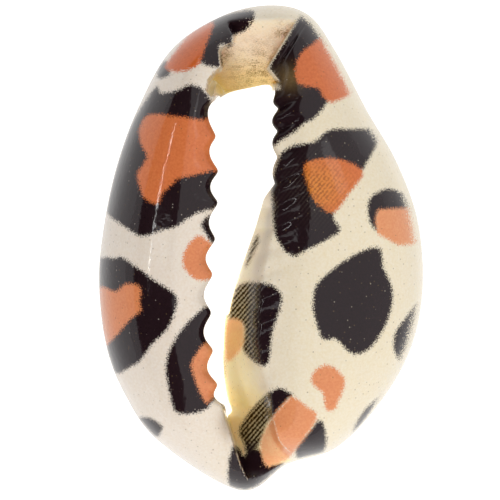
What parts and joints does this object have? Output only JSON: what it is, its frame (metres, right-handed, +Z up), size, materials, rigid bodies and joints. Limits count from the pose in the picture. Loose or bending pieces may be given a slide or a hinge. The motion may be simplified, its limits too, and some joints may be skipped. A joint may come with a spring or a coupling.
{
  "type": "cowrie shell bead",
  "caption": "Small printed cowrie shell with its back ground off flat, a toothed slot right through and a leopard pattern on the glossy face; strung or sewn on as a bead.",
  "frame": {"origin": "under the middle of the outline, on the ground back face", "axes": "+Z up through the mouth, +Y along the slot towards the wide front end, +X towards the inner lip"},
  "size_m": [0.0146, 0.022, 0.007],
  "materials": {
    "printed_shell": "glossy"
  },
  "bodies": {
    "root": {"shell": "printed_shell"}
  },
  "joints": []
}
